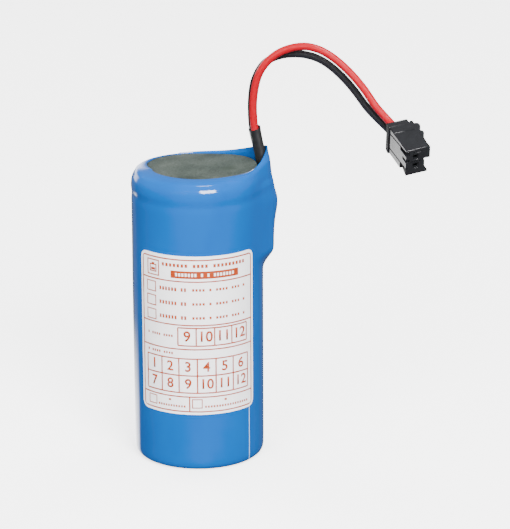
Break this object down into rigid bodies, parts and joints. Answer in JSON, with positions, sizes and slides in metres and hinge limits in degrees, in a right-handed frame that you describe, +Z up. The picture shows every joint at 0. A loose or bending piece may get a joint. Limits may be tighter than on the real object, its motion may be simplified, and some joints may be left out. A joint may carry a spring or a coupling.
{
  "type": "cylindrical battery cell pack",
  "caption": "Cylindrical lithium cell in a blue heat-shrink sleeve with a side protection board, a paper label, two leads and a two-way latching plug.",
  "frame": {"origin": "on the cell's axis, at the middle of the bottom paper disc, which the cell stands on", "axes": "+Z up along the cell's axis; the label faces -Y; the protection board, the leads and the plug are on the +X side"},
  "size_m": [0.0724, 0.0418, 0.1049],
  "materials": {
    "blue_film": "glossy heat-shrink film",
    "label_stock": null,
    "fish_paper": "matt grey-green pressed paper",
    "drawn_steel": "nickel-plated drawn steel",
    "nickel": "plain nickel strip",
    "white_plastic": "moulded polypropylene",
    "electrode_black": "coated foil",
    "graphite": "graphite-coated foil",
    "separator": "microporous film",
    "amber_tape": "polyester tape",
    "aluminium_tab": "rolled foil tab",
    "board_green": "solder-masked board",
    "chip_black": "moulded chip package",
    "capacitor_tan": "fired ceramic",
    "solder": "bright solder",
    "red_insulation": "soft lead insulation",
    "black_insulation": "soft lead insulation",
    "shrink_black": "heat-shrink tube",
    "plug_black": "moulded nylon",
    "tin_plate": "tin-plated contact"
  },
  "bodies": {
    "root": {"can": "drawn_steel", "crimp_gasket": "white_plastic", "tab_plate": "drawn_steel", "vent_insulator_ring": "white_plastic", "vent_disc": "drawn_steel", "top_cap": "nickel", "cathode_foil": "electrode_black", "anode_foil": "graphite", "separator_inner": "separator", "separator_outer": "separator", "centre_pin": "drawn_steel", "winding_tape": "amber_tape", "lower_insulator": "white_plastic", "upper_insulator": "white_plastic", "cathode_tab": "aluminium_tab", "anode_tab": "nickel", "bottom_disc": "fish_paper", "terminal_washer": "fish_paper", "top_disc": "fish_paper", "outer_sleeve": "blue_film", "label": "label_stock", "side_insulator": "fish_paper", "circuit_board": "board_green", "mosfet": "chip_black", "protection_ic": "chip_black", "sense_resistor": "chip_black", "filter_capacitor": "capacitor_tan", "solder_joint_red": "solder", "solder_joint_black": "solder", "positive_strip": "nickel", "negative_strip": "nickel", "red_lead": "red_insulation", "black_lead": "black_insulation", "lead_sleeve": "shrink_black", "connector_housing": "plug_black", "contact_positive": "tin_plate", "contact_negative": "tin_plate"},
    "latch": {"latch_lever": "plug_black"}
  },
  "joints": [
    {"name": "latch_press", "type": "hinge", "parent": "root", "child": "latch", "pos_m": [0.05499, -0.02112, 0.08443], "axis": [0.0063, -0.3593, 0.9332], "range_deg": [0, 5], "stiffness_Nm_per_rad": 0.02}
  ]
}
